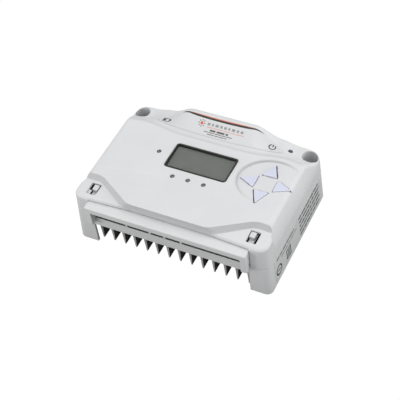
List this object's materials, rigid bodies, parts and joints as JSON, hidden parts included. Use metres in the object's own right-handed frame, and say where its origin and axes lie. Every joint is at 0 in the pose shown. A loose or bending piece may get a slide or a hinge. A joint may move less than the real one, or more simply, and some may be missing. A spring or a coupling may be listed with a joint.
{
  "type": "solar charge controller",
  "caption": "Wall-mounted solar charge controller: two-part plastic case on a finned heat sink, display, four-way keypad, indicator lights and a slide-off wire cover.",
  "frame": {"origin": "centre of the overall box in X and Y, on the wall mounting plane in Z", "axes": "+X along the long side to the keypad end, +Y from the wire entry edge to the label edge, +Z away from the wall"},
  "size_m": [0.153, 0.1084, 0.055],
  "materials": {
    "case_plastic": "fine moulded texture, cool light grey",
    "heat_sink": "black anodised extrusion, bare cut ends",
    "bezel": "black",
    "window": "clear, lightly tinted",
    "display_glass": "grey-green unlit display",
    "backlight": "milky diffuser",
    "circuit_board": "green solder mask",
    "key_plastic": "pale lavender, satin",
    "black_plastic": "black",
    "light_pipe": "smoked clear rod, unlit",
    "led": "clear lens",
    "sensor_bead": "dark blue epoxy bead",
    "steel": "zinc plated",
    "green_plastic": "green",
    "dip_body": "red",
    "white_plastic": "white",
    "capacitor_sleeve": "shrink sleeve",
    "thermal_pad": "grey silicone",
    "label": "printed film, satin"
  },
  "bodies": {
    "case": {"upper_case": "case_plastic", "lower_case": "case_plastic", "heatsink": "heat_sink", "lcd_frame": "bezel", "lcd_window": "window", "lcd_glass": "display_glass", "lcd_backlight": "backlight", "display_board": "circuit_board", "main_board": "circuit_board", "up_switch": "black_plastic", "left_switch": "black_plastic", "down_switch": "black_plastic", "right_switch": "black_plastic", "meter_port_jack": "black_plastic", "board_connector": "black_plastic", "terminal_block": "black_plastic", "mosfet_1": "black_plastic", "mosfet_2": "black_plastic", "mosfet_3": "black_plastic", "mosfet_4": "black_plastic", "charge_light_pipe": "light_pipe", "battery_light_pipe_1": "light_pipe", "battery_light_pipe_2": "light_pipe", "battery_light_pipe_3": "light_pipe", "charge_led": "led", "battery_led_1": "led", "battery_led_2": "led", "battery_led_3": "led", "temperature_sensor": "sensor_bead", "mosfet_clamp_bar": "steel", "case_screw_1": "steel", "case_screw_2": "steel", "case_screw_3": "steel", "case_screw_4": "steel", "sense_terminal_block": "green_plastic", "dip_switch_body": "dip_body", "capacitor_1": "capacitor_sleeve", "capacitor_2": "capacitor_sleeve", "thermal_pad": "thermal_pad", "front_label": "label", "side_label": "label"},
    "wire_cover": {"wire_cover": "case_plastic"},
    "left_latch": {"left_latch_tab": "case_plastic"},
    "right_latch": {"right_latch_tab": "case_plastic"},
    "up_key": {"up_button": "key_plastic"},
    "left_key": {"left_button": "key_plastic"},
    "down_key": {"down_button": "key_plastic"},
    "right_key": {"right_button": "key_plastic"},
    "dip_1": {"dip_slider_1": "white_plastic"},
    "dip_2": {"dip_slider_2": "white_plastic"},
    "dip_3": {"dip_slider_3": "white_plastic"},
    "dip_4": {"dip_slider_4": "white_plastic"},
    "terminal_screw_1": {"terminal_screw_1": "steel"},
    "terminal_screw_2": {"terminal_screw_2": "steel"},
    "terminal_screw_3": {"terminal_screw_3": "steel"},
    "terminal_screw_4": {"terminal_screw_4": "steel"},
    "terminal_screw_5": {"terminal_screw_5": "steel"},
    "terminal_screw_6": {"terminal_screw_6": "steel"}
  },
  "joints": [
    {"name": "up_key_press", "type": "slide", "parent": "case", "child": "up_key", "axis": [0, 0, -1], "range_m": [0, 0.0008], "stiffness_N_per_m": 900},
    {"name": "left_key_press", "type": "slide", "parent": "case", "child": "left_key", "axis": [0, 0, -1], "range_m": [0, 0.0008], "stiffness_N_per_m": 900},
    {"name": "down_key_press", "type": "slide", "parent": "case", "child": "down_key", "axis": [0, 0, -1], "range_m": [0, 0.0008], "stiffness_N_per_m": 900},
    {"name": "right_key_press", "type": "slide", "parent": "case", "child": "right_key", "axis": [0, 0, -1], "range_m": [0, 0.0008], "stiffness_N_per_m": 900},
    {"name": "wire_cover_slide", "type": "slide", "parent": "case", "child": "wire_cover", "axis": [0, -1, 0], "range_m": [0, 0.03]},
    {"name": "left_latch_flex", "type": "hinge", "parent": "case", "child": "left_latch", "pos_m": [-0.0611, -0.02515, 0.0403], "axis": [1, 0, 0], "range_deg": [0, 6], "stiffness_Nm_per_rad": 0.6},
    {"name": "right_latch_flex", "type": "hinge", "parent": "case", "child": "right_latch", "pos_m": [0.0604, -0.02515, 0.0403], "axis": [1, 0, 0], "range_deg": [0, 6], "stiffness_Nm_per_rad": 0.6},
    {"name": "dip_1_slide", "type": "slide", "parent": "case", "child": "dip_1", "axis": [1, 0, 0], "range_m": [0, 0.0013]},
    {"name": "dip_2_slide", "type": "slide", "parent": "case", "child": "dip_2", "axis": [1, 0, 0], "range_m": [0, 0.0013]},
    {"name": "dip_3_slide", "type": "slide", "parent": "case", "child": "dip_3", "axis": [1, 0, 0], "range_m": [0, 0.0013]},
    {"name": "dip_4_slide", "type": "slide", "parent": "case", "child": "dip_4", "axis": [1, 0, 0], "range_m": [0, 0.0013]},
    {"name": "terminal_screw_1_turn", "type": "hinge", "parent": "case", "child": "terminal_screw_1", "pos_m": [-0.03175, -0.04035, 0.037], "axis": [0, 0, 1], "continuous": true},
    {"name": "terminal_screw_2_turn", "type": "hinge", "parent": "case", "child": "terminal_screw_2", "pos_m": [-0.01905, -0.04035, 0.037], "axis": [0, 0, 1], "continuous": true},
    {"name": "terminal_screw_3_turn", "type": "hinge", "parent": "case", "child": "terminal_screw_3", "pos_m": [-0.00635, -0.04035, 0.037], "axis": [0, 0, 1], "continuous": true},
    {"name": "terminal_screw_4_turn", "type": "hinge", "parent": "case", "child": "terminal_screw_4", "pos_m": [0.00635, -0.04035, 0.037], "axis": [0, 0, 1], "continuous": true},
    {"name": "terminal_screw_5_turn", "type": "hinge", "parent": "case", "child": "terminal_screw_5", "pos_m": [0.01905, -0.04035, 0.037], "axis": [0, 0, 1], "continuous": true},
    {"name": "terminal_screw_6_turn", "type": "hinge", "parent": "case", "child": "terminal_screw_6", "pos_m": [0.03175, -0.04035, 0.037], "axis": [0, 0, 1], "continuous": true}
  ]
}
